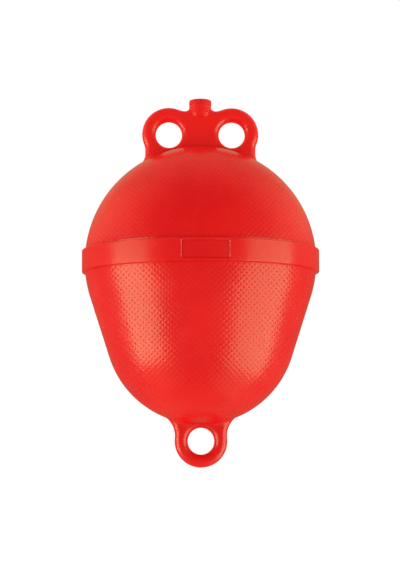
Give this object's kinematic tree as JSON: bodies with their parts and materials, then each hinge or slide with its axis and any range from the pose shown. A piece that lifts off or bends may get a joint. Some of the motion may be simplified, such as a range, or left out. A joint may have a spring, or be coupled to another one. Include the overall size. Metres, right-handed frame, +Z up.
{
  "type": "mooring buoy",
  "caption": "Pear-shaped mooring buoy: knurled moulded shells joined under a smooth belt, lifting eyes and a plugged filler neck on the crown, mooring eye at the foot.",
  "frame": {"origin": "on the buoy's axis, in the seam plane of the two shells, which is the belt's mid-plane and about the loaded waterline", "axes": "+Z up along the axis from the foot eye to the crown, -Y the front with the blank name plate, X across the crown eyes"},
  "size_m": [0.3, 0.3, 0.4668],
  "materials": {
    "shell_plastic": "satin, knurled in diamonds",
    "belt_plastic": "satin, smooth",
    "plate_plastic": "satin, smooth, blank",
    "plug_plastic": "satin, smooth"
  },
  "bodies": {
    "root": {"upper_shell": "shell_plastic", "lower_shell": "shell_plastic", "belt": "belt_plastic", "name_plate": "plate_plastic", "filler_plug": "plug_plastic"}
  },
  "joints": []
}
